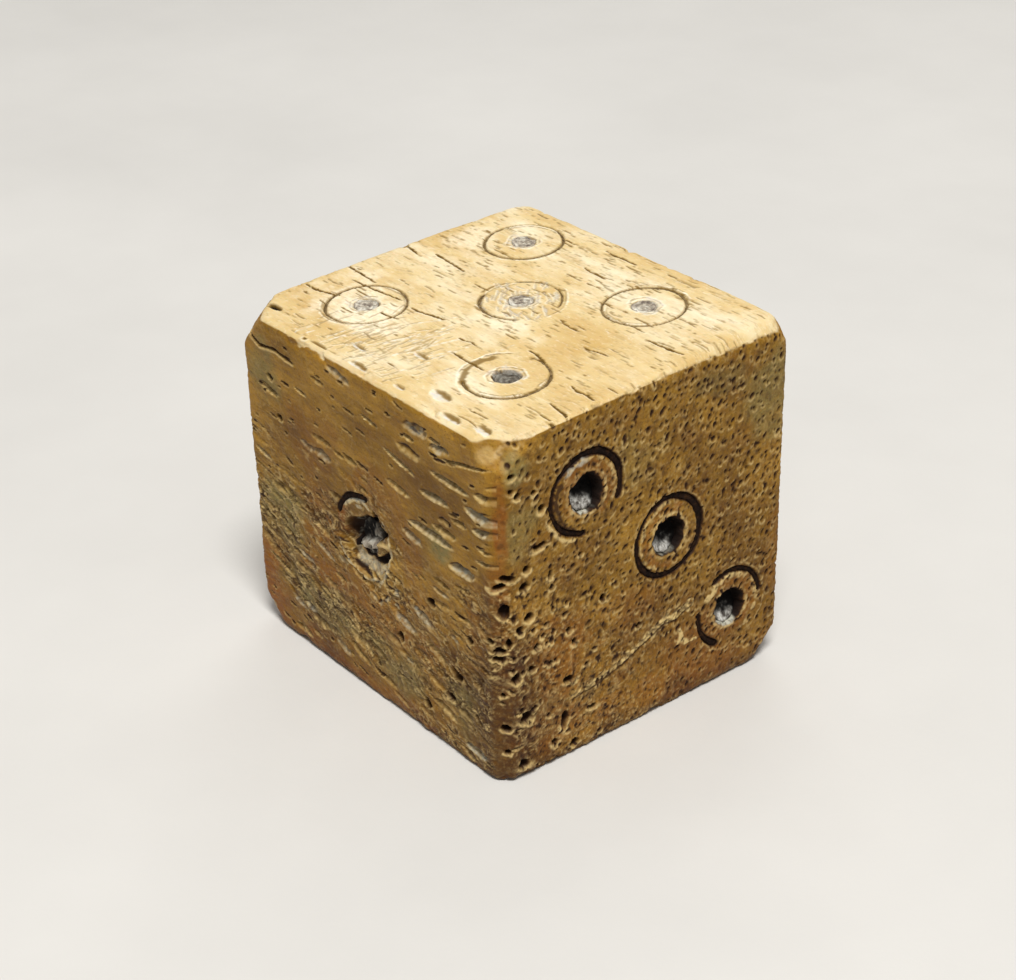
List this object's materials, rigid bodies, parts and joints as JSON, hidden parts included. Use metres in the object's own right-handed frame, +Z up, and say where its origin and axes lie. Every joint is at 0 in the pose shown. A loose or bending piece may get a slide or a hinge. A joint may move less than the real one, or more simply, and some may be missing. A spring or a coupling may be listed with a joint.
{
  "type": "bone die with ring-and-dot pips",
  "caption": "Hand-cut bone gaming die, slightly longer along the grain, with ring-and-dot pips cut in and darkened on each of its faces.",
  "frame": {"origin": "middle of the bounding box at the height of the resting face, which is the two face", "axes": "+Z up through the five face, +X along the grain of the bone through the three face, -Y through the one face"},
  "size_m": [0.012, 0.0106, 0.0111],
  "materials": {
    "bone": "worn satin bone, porous end grain",
    "dark_ring_fill": "matt dark pigment in wax and dirt",
    "grey_dot_fill": "matt grey dirt and dark pigment"
  },
  "bodies": {
    "root": {"bone_body": "bone", "one_ring_fill_1": "dark_ring_fill", "two_ring_fill_1": "dark_ring_fill", "two_ring_fill_2": "dark_ring_fill", "three_ring_fill_1": "dark_ring_fill", "three_ring_fill_2": "dark_ring_fill", "three_ring_fill_3": "dark_ring_fill", "four_ring_fill_1": "dark_ring_fill", "four_ring_fill_2": "dark_ring_fill", "four_ring_fill_3": "dark_ring_fill", "four_ring_fill_4": "dark_ring_fill", "five_ring_fill_1": "dark_ring_fill", "five_ring_fill_2": "dark_ring_fill", "five_ring_fill_3": "dark_ring_fill", "five_ring_fill_4": "dark_ring_fill", "five_ring_fill_5": "dark_ring_fill", "six_ring_fill_1": "dark_ring_fill", "six_ring_fill_2": "dark_ring_fill", "six_ring_fill_3": "dark_ring_fill", "six_ring_fill_4": "dark_ring_fill", "six_ring_fill_5": "dark_ring_fill", "six_ring_fill_6": "dark_ring_fill", "one_dot_fill_1": "grey_dot_fill", "two_dot_fill_1": "grey_dot_fill", "two_dot_fill_2": "grey_dot_fill", "three_dot_fill_1": "grey_dot_fill", "three_dot_fill_2": "grey_dot_fill", "three_dot_fill_3": "grey_dot_fill", "four_dot_fill_1": "grey_dot_fill", "four_dot_fill_2": "grey_dot_fill", "four_dot_fill_3": "grey_dot_fill", "four_dot_fill_4": "grey_dot_fill", "five_dot_fill_1": "grey_dot_fill", "five_dot_fill_2": "grey_dot_fill", "five_dot_fill_3": "grey_dot_fill", "five_dot_fill_4": "grey_dot_fill", "five_dot_fill_5": "grey_dot_fill", "six_dot_fill_1": "grey_dot_fill", "six_dot_fill_2": "grey_dot_fill", "six_dot_fill_3": "grey_dot_fill", "six_dot_fill_4": "grey_dot_fill", "six_dot_fill_5": "grey_dot_fill", "six_dot_fill_6": "grey_dot_fill"}
  },
  "joints": []
}
